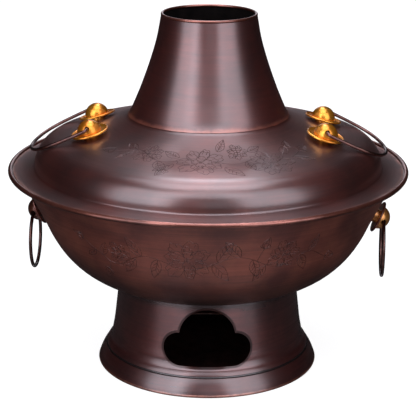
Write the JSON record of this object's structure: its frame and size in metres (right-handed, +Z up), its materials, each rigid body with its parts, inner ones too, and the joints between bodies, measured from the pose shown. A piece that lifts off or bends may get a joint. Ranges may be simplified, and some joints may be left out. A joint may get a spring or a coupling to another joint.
{
  "type": "chimney hot pot",
  "caption": "Spun copper hot pot on a flared foot with a cloud-shaped draught opening, a central fire chamber, a lift-off ring lid with wire bails, drop rings and a flared chimney.",
  "frame": {"origin": "on the ground under the centre of the foot", "axes": "+Z up along the axis of the chimney; -Y is the side of the cloud-shaped draught opening; the rings are on -X and +X"},
  "size_m": [0.34, 0.34, 0.3059],
  "materials": {
    "antique_copper": "dark brown patinated spun copper",
    "chamber_copper": "dark, heat-darkened copper",
    "worn_copper": "bright worn copper edge",
    "gilt_brass": "polished golden brass",
    "knob_copper": "polished dark copper",
    "copper_wire": "drawn copper wire, dark patina",
    "grate_iron": "cast iron"
  },
  "bodies": {
    "pot": {"foot_wall": "antique_copper", "vent_lip": "worn_copper", "foot_rolled_edge": "antique_copper", "base_plate": "chamber_copper", "bowl_shell": "antique_copper", "rim_rolled_edge": "worn_copper", "fire_chamber": "chamber_copper", "bowl_knob_left": "knob_copper", "bowl_knob_right": "knob_copper", "knob_rivets": "copper_wire", "grate_ledge": "chamber_copper"},
    "grate": {"fire_grate": "grate_iron"},
    "lid": {"lid_shell": "antique_copper", "lid_collar": "chamber_copper", "lid_boss_front_left": "gilt_brass", "lid_boss_front_right": "gilt_brass", "lid_boss_rear_left": "gilt_brass", "lid_boss_rear_right": "gilt_brass", "lid_rivets": "copper_wire"},
    "chimney": {"chimney_cone": "antique_copper", "chimney_rolled_edge": "worn_copper"},
    "bail_left": {"lid_bail_left": "copper_wire"},
    "bail_right": {"lid_bail_right": "copper_wire"},
    "ring_left": {"bowl_ring_left": "copper_wire"},
    "ring_right": {"bowl_ring_right": "copper_wire"}
  },
  "joints": [
    {"name": "lid_lift", "type": "slide", "parent": "pot", "child": "lid", "axis": [0, 0, 1], "range_m": [0, 0.16]},
    {"name": "chimney_lift", "type": "slide", "parent": "lid", "child": "chimney", "axis": [0, 0, 1], "range_m": [0, 0.12]},
    {"name": "grate_lift", "type": "slide", "parent": "pot", "child": "grate", "axis": [0, 0, 1], "range_m": [0, 0.12]},
    {"name": "bail_left_swing", "type": "hinge", "parent": "lid", "child": "bail_left", "pos_m": [-0.09909, 0.00346, 0.21405], "axis": [0.0349, 0.9994, 0], "range_deg": [0, 155]},
    {"name": "bail_right_swing", "type": "hinge", "parent": "lid", "child": "bail_right", "pos_m": [0.09909, -0.00346, 0.21405], "axis": [-0.0349, -0.9994, 0], "range_deg": [0, 155]},
    {"name": "ring_left_swing", "type": "hinge", "parent": "pot", "child": "ring_left", "pos_m": [-0.15044, 0.0092, 0.12962], "axis": [0.061, 0.9981, 0], "range_deg": [-38, 145]},
    {"name": "ring_right_swing", "type": "hinge", "parent": "pot", "child": "ring_right", "pos_m": [0.15044, -0.0092, 0.12962], "axis": [-0.061, -0.9981, 0], "range_deg": [-38, 145]}
  ]
}
